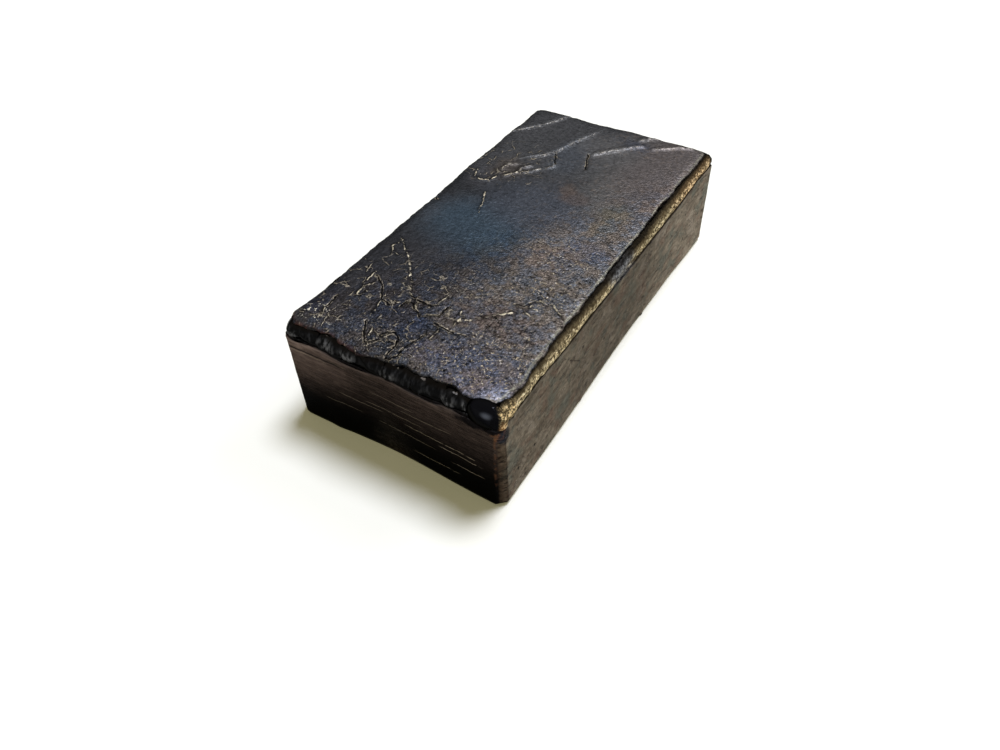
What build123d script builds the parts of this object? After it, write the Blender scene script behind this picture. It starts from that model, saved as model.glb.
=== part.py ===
from build123d import *
from math import cos, exp, pi, sin
import os

# A hand-poured copper-alloy ingot, lying as it was cast, with its open face up.
# Lengths are millimetres. X runs across the ingot, Y along it and Z up.
# The origin is the centre of the flat underside.

# Driving dimensions of the block
INGOT_LENGTH = 152.4         # over the foot, which flares a little at its corners
INGOT_WIDTH = 76.2
INGOT_HEIGHT = 39.2
FOOT_BEVEL = 2.6             # leg of the bevel of each upright corner, at the foot
LIP_BEVEL = 1.8              # and at the lip of the wall
LIP_INSET = 0.5              # how far the lip stands inside the corners of the foot
BASE_ARRIS = 0.6             # worn edge round the underside

# Driving dimensions of the rolled rim. Its insets are taken inward from the lip.
RIM_HEIGHT = 6.5             # lip of the wall to the top of the crust
LEDGE_DEPTH = 0.75           # where the bead starts
LEDGE_RISE = 0.15            # slope of the ledge between the lip and the bead
BEAD_FACE_INSET = 0.3        # the bead's roundest point
BEAD_FACE_RISE = 1.9         # height of that point above the lip
CRUST_INSET_FRONT = 2.4      # mean edge of the crust along each side
CRUST_INSET_RIGHT = 2.3
CRUST_INSET_BACK = 3.4
CRUST_INSET_LEFT = 2.8
CRUST_OVERHANG = 0.9         # how far the crust's edge stands out past the bead's neck below it
CRUST_THICKNESS = 1.3
CRUST_ROUND = 0.35           # rounding of the crust's edge
CRUST_BEVEL = 2.2            # leg of the cut across each corner of the crust
SHOULDER_WIDTH = 2.6         # strip along the crust's edge where its top turns down
SHOULDER_FALL = 0.35         # how far it turns down there
POINT_SPACING = 3.0          # spacing of the points that carry the waves of an edge

# Waves of the edges. Each wave is (place, half width, depth): the place is a share of the
# half side, from -1 at one corner to 1 at the next, with X or Y increasing. A depth above 0
# is a bite into the ingot, and one below 0 is a tongue that runs outward.
CRUST_WAVES = {
    "front": [(-0.86, 6.0, -0.9), (-0.55, 2.2, 0.7), (-0.37, 3.0, -0.8), (-0.20, 4.5, -1.6),
              (0.14, 2.4, 1.1), (0.35, 5.0, 0.8), (0.55, 3.2, 1.5), (0.68, 2.2, -0.8),
              (0.82, 4.5, 1.5)],
    "right": [(-0.96, 3.0, 0.9), (-0.81, 5.0, -1.6), (-0.66, 5.0, -0.7), (-0.38, 4.0, -0.4),
              (0.05, 8.0, 0.3), (0.26, 4.0, 0.4), (0.41, 7.0, 0.9), (0.62, 4.0, 0.6),
              (0.78, 4.0, -0.3)],
    "back": [(0.0, 40.0, 0.6), (-0.26, 4.0, 0.5), (0.17, 4.0, -0.5), (0.45, 4.0, 0.3),
             (0.80, 4.0, 0.5)],
    "left": [(-0.92, 4.0, -0.9), (-0.72, 5.0, 0.7), (-0.30, 4.0, 0.3), (0.02, 5.0, 0.3),
             (0.29, 12.0, -0.5), (0.61, 4.0, -0.3), (0.81, 5.0, 0.9)],
}
BEAD_WAVES = {
    "front": [(-0.82, 5.0, 0.5), (-0.52, 4.0, -0.25), (-0.28, 4.0, 0.3), (0.06, 5.0, -0.25),
              (0.40, 5.0, 0.2), (0.71, 2.8, 0.9), (0.86, 3.4, -0.2)],
    "right": [(-0.90, 5.0, -0.2), (-0.70, 4.0, 0.3), (-0.50, 5.0, -0.2), (-0.32, 4.0, 0.3),
              (0.07, 7.0, 0.8), (0.47, 4.0, 0.3), (0.82, 4.0, 0.4)],
    "back": [(-0.60, 6.0, 0.4), (0.10, 5.0, 0.4), (0.75, 6.0, 0.4)],
    "left": [(-0.55, 5.0, 0.4), (0.0, 5.0, 0.3), (0.55, 6.0, 0.4)],
}
LIP_WAVES = {
    "front": [(-0.63, 5.0, 0.15), (-0.10, 6.0, 0.25), (0.50, 6.0, 0.2)],
    "right": [(-0.65, 8.0, 0.3), (-0.25, 7.0, 0.1), (0.44, 9.0, 0.15), (0.78, 6.0, 0.3)],
    "back": [(-0.50, 7.0, 0.25), (0.30, 9.0, 0.2)],
    "left": [(-0.60, 8.0, 0.2), (-0.10, 9.0, 0.3), (0.55, 9.0, 0.2)],
}
# The metal shrank as it froze, so the foot of each wall draws in between its corners.
FOOT_WAVES = {
    "front": [(0.0, 20.0, 1.25), (-0.58, 2.6, -0.3)],
    "right": [(0.15, 42.0, 1.1), (0.60, 8.0, 0.3)],
    "back": [(0.1, 20.0, 1.1)],
    "left": [(-0.1, 42.0, 1.1), (0.40, 8.0, 0.2)],
}
# Rise and fall of the lip: here the depth is how far the lip dips below its mean height.
LIP_DIPS = {
    "front": [(-0.95, 2.6, -0.7), (-0.86, 3.0, 0.7), (-0.68, 3.6, -0.4), (-0.33, 7.0, 0.6),
              (0.03, 5.0, -0.4), (0.36, 4.5, 0.45), (0.62, 5.0, -0.2), (1.0, 3.0, 1.0)],
    "right": [(-1.0, 3.5, 1.0), (-0.78, 9.0, -0.7), (0.09, 14.0, 0.5), (0.45, 11.0, 0.6),
              (0.78, 8.0, -0.4)],
    "back": [(-0.55, 7.0, 0.4), (0.05, 7.0, -0.3), (0.60, 6.0, 0.4)],
    "left": [(-0.70, 9.0, 0.5), (-0.25, 9.0, -0.4), (0.25, 10.0, 0.5), (0.75, 9.0, -0.4)],
}

# Each side of the ingot and the way it faces, in anticlockwise order seen from above
OUTWARD = {"front": (0, -1), "right": (1, 0), "back": (0, 1), "left": (-1, 0)}
SIDES = list(OUTWARD)

# Heights and insets worked out from the driving dimensions
lip_z = INGOT_HEIGHT - RIM_HEIGHT
ledge_z = lip_z + LEDGE_RISE
bead_face_z = lip_z + BEAD_FACE_RISE
neck_z = INGOT_HEIGHT - CRUST_THICKNESS
shoulder_z = INGOT_HEIGHT - SHOULDER_FALL
crust_edge = {"front": LIP_INSET + CRUST_INSET_FRONT, "right": LIP_INSET + CRUST_INSET_RIGHT,
              "back": LIP_INSET + CRUST_INSET_BACK, "left": LIP_INSET + CRUST_INSET_LEFT}


def wave(waves, place, half_side):
    """Sum of the waves at one place along a side, in millimetres."""
    return sum(depth * exp(-(((place - middle) * half_side / half_width) ** 2))
               for middle, half_width, depth in waves)


def blended(waves, other_waves, share):
    """Waves part of the way from one set to another: share is how much the other counts."""
    return {side: [(place, width, depth * (1 - share)) for place, width, depth in waves[side]]
            + [(place, width, depth * share) for place, width, depth in other_waves[side]]
            for side in SIDES}


def all_round(inset):
    """The same inset along every side."""
    return dict.fromkeys(SIDES, inset)


def deeper(insets, more):
    """Insets that lie further in by the same amount along every side."""
    return {side: insets[side] + more for side in SIDES}


def side_points(number, insets, z, waves, bevel, dips):
    """Points along one side of a level, in the anticlockwise order of the outline."""
    side = SIDES[number]
    before = SIDES[number - 1]
    after = SIDES[(number + 1) % 4]
    out_x, out_y = OUTWARD[side]
    half_across, half_side = INGOT_LENGTH / 2, INGOT_WIDTH / 2
    if out_x:
        half_across, half_side = half_side, half_across
    start = insets[before] + bevel - half_side
    end = half_side - insets[after] - bevel
    spans = max(4, round((end - start) / POINT_SPACING))
    points = []
    for i in range(spans + 1):
        along = start + (end - start) * i / spans
        place = (out_x - out_y) * along / half_side
        out = half_across - insets[side] - wave(waves[side], place, half_side)
        height = z - wave(dips[side], place, half_side) if dips else z
        points.append((out * out_x - along * out_y, out * out_y + along * out_x, height))
    return points


def outline(insets, z, waves, bevel, dips=None):
    """Closed outline of the ingot at one level: four wavy sides joined across the corners."""
    sides = [side_points(number, insets, z, waves, bevel, dips) for number in range(4)]
    edges = []
    for number, points in enumerate(sides):
        shares = [i / (len(points) - 1) for i in range(len(points))]
        edges.append(Edge.make_spline(points, parameters=shares))
        edges.append(Edge.make_line(points[-1], sides[(number + 1) % 4][0]))
    return Wire(edges)


def bead_levels():
    """Levels of the rolled bead, from its foot on the ledge to its neck under the crust.

    Its section is part of an ellipse below its roundest point, and part of another above.
    The foot follows the lip, and the neck has the waves of the crust that covers it.
    """
    foot = all_round(LIP_INSET + LEDGE_DEPTH)
    face = all_round(LIP_INSET + BEAD_FACE_INSET)
    neck = deeper(crust_edge, CRUST_OVERHANG)
    levels = [outline(foot, ledge_z, BEAD_WAVES, LIP_BEVEL, LIP_DIPS)]
    for degrees in (-40, 0, 20, 40, 60, 90):
        angle = degrees * pi / 180
        end, end_z = (neck, neck_z) if degrees > 0 else (foot, ledge_z)
        share = 1 - cos(angle)
        insets = {side: face[side] + share * (end[side] - face[side]) for side in SIDES}
        z = bead_face_z + abs(sin(angle)) * (end_z - bead_face_z)
        crust_share = share if degrees > 0 else 0
        bevel = LIP_BEVEL + crust_share * (CRUST_BEVEL - LIP_BEVEL)
        levels.append(outline(insets, z, blended(BEAD_WAVES, CRUST_WAVES, crust_share), bevel))
    return levels


def crust_levels():
    """Levels of the crust, from its underside round its ragged edge to its flat top."""
    rounded = deeper(crust_edge, CRUST_ROUND)
    flat = deeper(crust_edge, SHOULDER_WIDTH)
    stack = [(rounded, neck_z), (crust_edge, neck_z + CRUST_ROUND),
             (crust_edge, shoulder_z - CRUST_ROUND), (rounded, shoulder_z), (flat, INGOT_HEIGHT)]
    return [outline(insets, z, CRUST_WAVES, CRUST_BEVEL) for insets, z in stack]


def ingot():
    """The ingot as one solid: straight bands between its levels, from its base to its top."""
    base = outline(all_round(BASE_ARRIS), 0, FOOT_WAVES, FOOT_BEVEL)
    foot = outline(all_round(0), BASE_ARRIS, FOOT_WAVES, FOOT_BEVEL)
    lip = outline(all_round(LIP_INSET), lip_z, LIP_WAVES, LIP_BEVEL, LIP_DIPS)
    return Solid.make_loft([base, foot, lip] + bead_levels() + crust_levels(), ruled=True)


os.makedirs("parts", exist_ok=True)
export_step(ingot(), "parts/ingot.step")
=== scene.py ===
# %% [markdown]
# # A hand-poured ingot
# The real object is one lump of copper alloy, poured by hand into an open iron mould. Its walls
# and its underside are copies of the mould. Its top froze in the open air: a dark crust of oxide
# with folds and flakes, which hangs over a rolled rim of bare metal.
# The block comes from the CAD frame at its real size. Here it gets its fine relief, its finish,
# a floor, light and a camera. Everything is measured in millimetres, and only the finished mesh
# is turned into Blender's metres.

# %% Load the frame
import math

import bpy
import numpy as np
from mathutils import Matrix, Vector, noise
from mathutils.bvhtree import BVHTree


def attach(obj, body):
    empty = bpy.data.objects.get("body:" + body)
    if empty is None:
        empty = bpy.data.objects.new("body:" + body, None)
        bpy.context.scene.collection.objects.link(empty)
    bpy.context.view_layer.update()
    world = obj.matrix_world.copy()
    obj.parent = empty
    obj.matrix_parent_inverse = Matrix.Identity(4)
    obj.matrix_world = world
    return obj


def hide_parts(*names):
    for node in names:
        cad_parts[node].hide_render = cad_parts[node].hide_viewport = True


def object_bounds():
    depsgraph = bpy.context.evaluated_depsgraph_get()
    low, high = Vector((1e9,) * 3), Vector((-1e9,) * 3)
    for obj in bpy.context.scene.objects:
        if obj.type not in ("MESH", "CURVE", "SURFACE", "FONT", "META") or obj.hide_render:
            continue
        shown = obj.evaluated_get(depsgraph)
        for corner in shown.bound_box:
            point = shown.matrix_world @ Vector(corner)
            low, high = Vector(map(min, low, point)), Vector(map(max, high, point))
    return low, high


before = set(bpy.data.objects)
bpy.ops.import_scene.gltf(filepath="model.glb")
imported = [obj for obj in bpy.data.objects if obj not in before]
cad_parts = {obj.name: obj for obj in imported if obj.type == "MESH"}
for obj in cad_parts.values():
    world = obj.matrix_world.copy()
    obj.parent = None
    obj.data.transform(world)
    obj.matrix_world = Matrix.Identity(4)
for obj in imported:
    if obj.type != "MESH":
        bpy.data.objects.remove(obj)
cad_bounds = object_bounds()
MM = 0.001
low, high = (np.array(corner) / MM for corner in cad_bounds)
print("block, mm:", np.round(high - low, 2))

# %% [markdown]
# ## The camera first
# The photograph was taken from above the near corner. A camera is a place and three directions,
# so its matrix is written from them: right, up, and the way it looks, turned about for Blender,
# whose cameras look along their own -Z. The focal length in pixels becomes one in millimetres
# on a 36 mm sensor.

# %% Camera
CAMERA_PLACE = (106.5, -180.1, 181.8)
CAMERA_YAW = math.radians(33.17)      # turned left from +Y
CAMERA_DIP = math.radians(45.55)      # looking down
CAMERA_ROLL = math.radians(-2.23)
FOCAL_PIXELS = 764.2
IMAGE_WIDTH = 1000
SENSOR_WIDTH = 36


def camera_axes(yaw, dip, roll):
    """The right, up and forward directions of a camera."""
    forward = Vector((-math.sin(yaw) * math.cos(dip), math.cos(yaw) * math.cos(dip), -math.sin(dip)))
    level = Vector((math.cos(yaw), math.sin(yaw), 0))
    upright = level.cross(forward)
    right = math.cos(roll) * level + math.sin(roll) * upright
    up = math.cos(roll) * upright - math.sin(roll) * level
    return right, up, forward


camera_data = bpy.data.cameras.new("camera")
camera = bpy.data.objects.new("camera", camera_data)
bpy.context.scene.collection.objects.link(camera)
right, up, forward = camera_axes(CAMERA_YAW, CAMERA_DIP, CAMERA_ROLL)
camera.matrix_world = Matrix.Translation(Vector(CAMERA_PLACE) * MM) @ Matrix(
    (right, up, -forward)).transposed().to_4x4()
camera_data.sensor_width = SENSOR_WIDTH
camera_data.lens = FOCAL_PIXELS / IMAGE_WIDTH * SENSOR_WIDTH
camera_data.clip_start = 0.01
bpy.context.scene.camera = camera
print("lens, mm:", round(camera_data.lens, 2))

# %% [markdown]
# ## One skin over the block
# The relief needs many small faces, and the CAD block has few large ones. Subdividing it would
# keep its long thin triangles, and a voxel remesh would melt the undercut below the crust. So a
# new skin is laid over it: a grid on the top, and columns that run from the edge of that grid
# over the rim and down the walls. Rays shot at the block from outside tell each column how far
# out the block reaches at every height, so the skin keeps the real section.

# %% Grid and columns
GRID_HALF = np.array([31.0, 68.0])    # the grid ends on the flat of the crust
CELLS = (138, 302)


def walk_round(cells_x, cells_y):
    """Places on the edge of the grid, anticlockwise from its front left corner."""
    front = [(i, 0) for i in range(cells_x)]
    right = [(cells_x, j) for j in range(cells_y)]
    back = [(i, cells_y) for i in range(cells_x, 0, -1)]
    left = [(0, j) for j in range(cells_y, 0, -1)]
    return front + right + back + left


grid_x = np.linspace(-GRID_HALF[0], GRID_HALF[0], CELLS[0] + 1)
grid_y = np.linspace(-GRID_HALF[1], GRID_HALF[1], CELLS[1] + 1)
edge_cells = walk_round(*CELLS)
edge_numbers = [j * (CELLS[0] + 1) + i for i, j in edge_cells]
edge_points = np.array([(grid_x[i], grid_y[j]) for i, j in edge_cells])
outer_points = edge_points / GRID_HALF * high[:2]
column_ways = outer_points - edge_points
column_reach = np.linalg.norm(column_ways, axis=1)
column_ways /= column_reach[:, None]
print("columns:", len(edge_points))

# %% Probe the block
PROBE_STEP = 0.1
PROBE_START = 20.0                    # how far outside the block a ray starts
probe_heights = np.arange(PROBE_STEP / 2, high[2], PROBE_STEP)

cad_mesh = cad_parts["ingot"].data
block = BVHTree.FromPolygons([v.co / MM for v in cad_mesh.vertices],
                             [tuple(p.vertices) for p in cad_mesh.polygons])


def probe(number):
    """Distance from the grid's edge out to the block's surface at each height, for one column."""
    way = Vector((*column_ways[number], 0))
    start = Vector((*edge_points[number], 0)) + way * (column_reach[number] + PROBE_START)
    reach = []
    for height in probe_heights:
        hit = block.ray_cast(start + Vector((0, 0, height)), -way)
        reach.append(column_reach[number] + PROBE_START - hit[3])
    return np.array(reach)


section = np.array([probe(number) for number in range(len(edge_points))])
print("probed:", section.shape)

# %% [markdown]
# ## Rows that follow the form
# Each column is cut where the form turns: at the lip of the wall, at the neck under the crust and
# at the crust's edge. Every stretch gets rows of its own, so a row of vertices runs along each
# edge of the form, and the rim, which has the most to show, gets the closest rows.

# %% Stretches of a column
WALL_ROWS = 20
BEAD_ROWS = 18
UNDERSIDE_ROWS = 3
CRUST_ROWS = 19
CROWD = 1.35                          # packs the crust's rows toward its edge
LIP_SEARCH = (30.5, 34.5)             # heights between which the lip of the wall lies
NECK_SEARCH = (37.0, 38.6)            # and the neck under the crust


def jump_at(reach, search, sign):
    """Number of the probe after which the reach changes most, within a range of heights."""
    inside = np.flatnonzero((probe_heights > search[0]) & (probe_heights < search[1]))
    change = (reach[inside + 2] - reach[inside]) * sign
    return inside[np.argmax(change)] + 1


def even_steps(points, count, crowd=1.0):
    """Points at even steps along a line, without its first one. Crowd above 1 packs its start."""
    lengths = np.linalg.norm(np.diff(points, axis=0), axis=1)
    travelled = np.concatenate([[0], np.cumsum(lengths)])
    wanted = (np.arange(1, count + 1) / count) ** crowd * travelled[-1]
    return np.column_stack([np.interp(wanted, travelled, points[:, axis]) for axis in (0, 1)])


def column_rows(reach):
    """One column as (distance out, height) rows, from the underside to the edge of the grid."""
    line = np.column_stack([reach, probe_heights])
    lip = jump_at(reach, LIP_SEARCH, -1)
    neck = jump_at(reach, NECK_SEARCH, 1)
    crust = neck + 1
    foot = np.array([[reach[0], 0.0]])
    wall = even_steps(np.vstack([foot, line[:lip]]), WALL_ROWS - 1)
    bead = even_steps(line[lip - 1:neck + 1], BEAD_ROWS)
    underside = even_steps(line[neck:crust + 1], UNDERSIDE_ROWS)
    top = np.vstack([line[crust:], [[0.0, high[2]]]])
    crust_rows = even_steps(top, CRUST_ROWS + 1, CROWD)[:-1]
    return np.vstack([foot, wall, bead, underside, crust_rows])


rows = np.array([column_rows(reach) for reach in section]).transpose(1, 0, 2)
row_zone = np.repeat([0, 1, 2, 3], [WALL_ROWS, BEAD_ROWS, UNDERSIDE_ROWS, CRUST_ROWS])
print("rows, columns:", rows.shape[:2])

# %% [markdown]
# The block's rim is made of flat bands between a few levels, and their edges would show on a poured
# bead. Each row of the rim and the crust is averaged with the columns beside it, and then the rows
# of the bead with the rows above and below, which leaves its neck and its foot sharp.

# %% Soften the facets of the rim
SOFTEN_PASSES = 2
rim_rows = np.flatnonzero(row_zone > 0)
for _ in range(SOFTEN_PASSES):
    beside = (np.roll(rows, 1, axis=1) + np.roll(rows, -1, axis=1)) / 2
    rows[rim_rows] = (rows[rim_rows] + beside[rim_rows]) / 2
bead_rows = np.flatnonzero(row_zone == 1)[2:-2]
for _ in range(SOFTEN_PASSES):
    rows[bead_rows] = (rows[bead_rows - 1] + rows[bead_rows] * 2 + rows[bead_rows + 1]) / 4
print("softened rows:", len(rim_rows))

# %% [markdown]
# ## Points in space
# From here every point is a row of one long array, so that each kind of relief is one sum over all
# of them. The grid's points come first, then the ring rows from the underside up, and last the
# two small rings that close the underside.

# %% Join grid and rings
grid_points = np.array([(x, y, high[2]) for y in grid_y for x in grid_x])
ring_xy = edge_points[None] + rows[..., :1] * column_ways[None]
ring_points = np.concatenate([ring_xy, rows[..., 1:]], axis=2)
UNDERSIDE_SHARES = (0.93, 0.5)        # sizes of the rings that close the underside
foot_ring = ring_points[0]
floor_rings = np.array([foot_ring * (share, share, 1) for share in UNDERSIDE_SHARES])
points = np.vstack([grid_points, ring_points.reshape(-1, 3), floor_rings.reshape(-1, 3),
                    [[0.0, 0.0, 0.0]]])
GRID_COUNT = len(grid_points)
COLUMNS = len(edge_points)
RING_COUNT = ring_points.shape[0] * COLUMNS
ring_slice = slice(GRID_COUNT, GRID_COUNT + RING_COUNT)
print("points:", len(points))


# %% Faces
def ring_faces(lower, upper):
    """Faces between two closed rings of vertex numbers, the lower one first."""
    count = len(lower)
    return [(lower[k], lower[(k + 1) % count], upper[(k + 1) % count], upper[k])
            for k in range(count)]


def skin_faces():
    """All faces of the skin: the grid, the rings and the underside."""
    across = CELLS[0] + 1
    faces = [(j * across + i, j * across + i + 1, (j + 1) * across + i + 1, (j + 1) * across + i)
             for j in range(CELLS[1]) for i in range(CELLS[0])]
    rings = [list(range(GRID_COUNT + r * COLUMNS, GRID_COUNT + (r + 1) * COLUMNS))
             for r in range(rows.shape[0] + len(UNDERSIDE_SHARES))]
    below = rings[rows.shape[0]:]
    rings = rings[:rows.shape[0]]
    for lower, upper in zip(rings, rings[1:] + [edge_numbers]):
        faces += ring_faces(lower, upper)
    faces += ring_faces(below[0], rings[0]) + ring_faces(below[1], below[0])
    centre = len(points) - 1
    faces += [(centre, below[1][(k + 1) % COLUMNS], below[1][k]) for k in range(COLUMNS)]
    return faces


faces = skin_faces()
skin = bpy.data.meshes.new("ingot_cast")
skin.from_pydata((points * MM).tolist(), [], faces)
skin.update()
ingot = bpy.data.objects.new("ingot_cast", skin)
bpy.context.scene.collection.objects.link(ingot)


def skin_normals():
    """The direction that the skin faces at each point."""
    flat = np.zeros(len(points) * 3, np.float32)
    skin.vertex_normals.foreach_get("vector", flat)
    return flat.reshape(-1, 3).astype(float)


def move_skin(new_points):
    """Puts the points back into the mesh."""
    skin.vertices.foreach_set("co", (new_points * MM).astype(np.float32).ravel())
    skin.update()


triangles = sum(len(face) - 2 for face in faces)
print("triangles:", triangles)

# %% [markdown]
# ## Which part of the skin is which
# The relief and the finish both need to know what a point belongs to: the wall, the bead, the
# shadowed underside of the crust, or the crust itself. Each share runs from 0 to 1 with a short
# blend, and later goes into the mesh as an attribute that the material can read.

# %% Shares of the skin
x, y, z = points.T


def smooth(value, start, end):
    """0 before start, 1 after end, and an even curve between them."""
    share = np.clip((value - start) / (end - start), 0, 1)
    return share * share * (3 - 2 * share)


def ring_share(by_row):
    """A share given for each ring row, spread over all points. The grid gets the last row's."""
    share = np.zeros(len(points))
    share[:GRID_COUNT] = by_row[-1]
    share[ring_slice] = np.repeat(by_row, COLUMNS)
    return share


row_number = np.arange(len(row_zone))
bead_share = np.clip((row_number - WALL_ROWS) / BEAD_ROWS, 0, 1)
crust_start = WALL_ROWS + BEAD_ROWS + UNDERSIDE_ROWS
EDGE_ROWS = 7                         # rows that go round the crust's edge
FADE_ROWS = 15                        # rows over which the crust's rim fades inward
edge_share = np.clip((row_number - crust_start) / EDGE_ROWS, 0, 1)
on_wall = ring_share(row_zone == 0)
on_bead = ring_share(row_zone == 1)
under_crust = ring_share(row_zone == 2)
on_top = ring_share(edge_share)
bead_rise = ring_share(bead_share)
bead_middle = ring_share(np.where(row_zone == 1, np.sin(np.pi * bead_share), 0))
neck_row = WALL_ROWS + BEAD_ROWS
overhang = ring_share(np.clip((row_number - neck_row + 1) / UNDERSIDE_ROWS, 0, 1))
crust_rim = ring_share(np.clip(1 - (row_number - crust_start) / FADE_ROWS, 0, 1) * (row_zone == 3))
print("points of the wall, bead and crust:", [int(np.sum(share > 0.5)) for share in
                                              (on_wall, on_bead, on_top)])

# %% Lumps
SEED_STEP = np.array((13.7, 7.3, 3.1))    # each seed starts this much further along the noise


def lumps(places, size, seed, stretch=(1, 1, 1)):
    """Smooth noise from about -1 to 1. Size is how far apart its lumps are, in millimetres."""
    where = places / (np.array(stretch) * size) + seed * SEED_STEP
    return np.array([noise.noise(Vector(place)) for place in where])


# %% [markdown]
# ## Folds, laps and cracks of the crust
# While the metal froze, its skin was pushed, folded and torn. Each such mark is a line on the top,
# picked from the photograph, with a kind: a ridge stands up, a crack is a groove, and a lap
# is a step, where one sheet of crust slid over the next and stands proud on the line's left side.

# %% Marks of the top
# Each mark: kind, height, width, and its points (x, y) in millimetres.
MARKS = [
    ("lap", 0.34, 3.0, [(8.3, -51.0), (10.5, -49.0), (15.0, -45.0), (20.0, -40.0), (22.6, -37.8),
                        (24.5, -38.6)]),
    ("ridge", 0.20, 0.45, [(9.5, -50.0), (14.0, -46.0), (19.0, -41.2), (22.0, -38.3)]),
    ("lap", 0.32, 2.4, [(-9.8, -48.2), (-12.0, -45.2), (-14.8, -41.0), (-17.2, -38.4),
                        (-20.2, -34.6), (-24.2, -31.2), (-28.8, -27.0)]),
    ("ridge", 0.30, 0.6, [(-28.3, -27.0), (-29.4, -31.2), (-27.2, -33.6), (-24.4, -34.2)]),
    ("ridge", 0.26, 0.55, [(-24.4, -31.0), (-20.4, -34.6), (-17.2, -38.6), (-15.0, -41.4)]),
    ("ridge", 0.26, 0.5, [(-12.4, -45.2), (-10.6, -47.4)]),
    ("crack", 0.45, 0.42, [(-10.2, -48.0), (-6.0, -48.6), (-1.6, -48.5), (-0.6, -47.2)]),
    ("ridge", 0.20, 0.5, [(-0.6, -46.6), (-0.2, -43.6)]),
    ("crack", 0.40, 0.4, [(-9.6, -53.4), (-9.3, -50.8), (-7.2, -50.4), (-5.8, -52.4),
                          (-3.0, -53.2), (-2.4, -54.6), (0.4, -52.4), (2.4, -51.4), (2.7, -47.6)]),
    ("lap", 0.26, 2.4, [(2.9, -47.6), (2.5, -51.4), (0.4, -52.2), (-2.4, -54.3), (-3.0, -52.9),
                        (-5.6, -52.0), (-7.0, -50.2), (-9.6, -50.6), (-10.0, -53.6)]),
    ("crack", 0.36, 0.4, [(-16.4, -53.2), (-13.2, -54.2)]),
    ("ridge", 0.26, 0.4, [(-15.8, -54.2), (-15.2, -57.0), (-15.0, -60.2)]),
    ("ridge", 0.30, 0.35, [(-25.8, -44.8), (-25.6, -47.6), (-25.2, -50.2)]),
    ("ridge", 0.30, 0.35, [(-24.8, -51.8), (-24.6, -54.2), (-23.8, -56.0)]),
    ("ridge", 0.24, 0.35, [(-22.4, -52.6), (-22.8, -55.4)]),
    ("ridge", 0.22, 0.35, [(-29.2, -42.4), (-28.6, -45.0)]),
    ("crack", 0.24, 0.4, [(-28.9, -58.4), (-28.4, -63.6)]),
    ("ridge", 0.24, 0.4, [(-28.2, -64.8), (-27.0, -67.4)]),
    ("ridge", 0.28, 0.35, [(5.2, -54.9), (6.0, -57.2), (5.6, -60.6)]),
    ("ridge", 0.24, 0.35, [(6.8, -46.4), (7.6, -48.2)]),
    ("ridge", 0.26, 0.35, [(8.8, -48.2), (8.4, -52.0)]),
    ("crack", 0.30, 0.4, [(3.4, -54.6), (7.0, -55.0), (10.2, -55.2), (13.6, -54.4)]),
    ("lap", 0.30, 2.2, [(3.6, -59.6), (2.8, -64.0), (1.5, -68.0), (2.2, -70.0), (0.6, -73.2)]),
    ("crack", 0.34, 0.4, [(3.3, -60.0), (2.4, -64.0), (1.2, -68.2), (1.9, -70.0), (0.4, -73.0)]),
    ("crack", 0.34, 0.42, [(-7.8, -66.4), (-6.4, -64.2), (-4.2, -63.4), (-2.2, -64.8), (-1.1, -67.6),
                           (-1.0, -70.6), (-0.4, -73.0)]),
    ("crack", 0.32, 0.4, [(-14.6, -63.4), (-12.6, -66.4), (-11.0, -69.0), (-9.4, -70.6),
                          (-7.0, -68.2)]),
    ("ridge", 0.26, 0.4, [(-10.6, -65.6), (-10.2, -67.6)]),
    ("crack", 0.26, 0.4, [(-24.6, -45.4), (-20.6, -48.2), (-18.6, -50.6), (-16.4, -53.2)]),
    ("lap", 0.30, 2.2, [(25.4, -35.4), (23.2, -36.0), (22.6, -33.4), (23.8, -31.8), (28.6, -31.6),
                        (33.6, -35.0)]),
    ("crack", 0.24, 0.4, [(18.6, -36.6), (21.6, -35.8), (22.4, -33.6)]),
    ("ridge", 0.34, 0.9, [(-23.4, 25.2), (-23.4, 29.4), (-20.8, 30.4)]),
    ("ridge", 0.38, 0.9, [(-20.2, 21.8), (-17.6, 25.6), (-17.4, 29.6), (-15.6, 31.6)]),
    ("ridge", 0.30, 0.7, [(-16.0, 26.6), (-13.2, 29.0), (-11.4, 31.8)]),
    ("ridge", 0.30, 0.7, [(-10.2, 33.2), (-8.4, 34.4), (-8.6, 36.8), (-10.6, 39.2)]),
    ("ridge", 0.26, 0.9, [(-30.4, 20.4), (-29.4, 16.4), (-26.4, 15.2), (-23.2, 16.8), (-22.6, 20.4),
                          (-24.4, 23.6)]),
    ("lap", 0.42, 4.5, [(-17.4, 38.0), (-15.0, 40.4), (-12.2, 45.0), (-10.2, 50.0), (-9.2, 55.0),
                        (-7.6, 58.6), (-5.8, 63.0)]),
    ("lap", 0.40, 4.0, [(-34.4, 51.2), (-30.2, 54.6), (-26.4, 59.6), (-23.4, 65.6), (-20.0, 72.0)]),
    ("ridge", 0.40, 1.3, [(0.8, 49.6), (4.0, 53.8), (8.0, 58.4), (11.0, 61.0), (13.4, 63.0)]),
    ("ridge", 0.36, 1.2, [(11.6, 67.2), (14.0, 70.0), (17.0, 72.0)]),
    ("ridge", 0.36, 1.2, [(18.4, 63.6), (22.0, 66.0), (26.0, 69.2), (30.0, 70.6)]),
    ("crack", 0.34, 0.6, [(-1.2, 48.6), (0.8, 43.6), (2.6, 39.4)]),
    ("crack", 0.26, 0.5, [(-12.0, 43.6), (-10.2, 40.8), (-8.6, 37.6)]),
    ("ridge", 0.16, 0.5, [(-20.4, 9.6), (-18.2, 4.6), (-16.2, -1.2)]),
    ("crack", 0.30, 1.0, [(-34.2, -0.8), (-32.8, -1.8)]),
]
print("marks:", len(MARKS))


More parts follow.
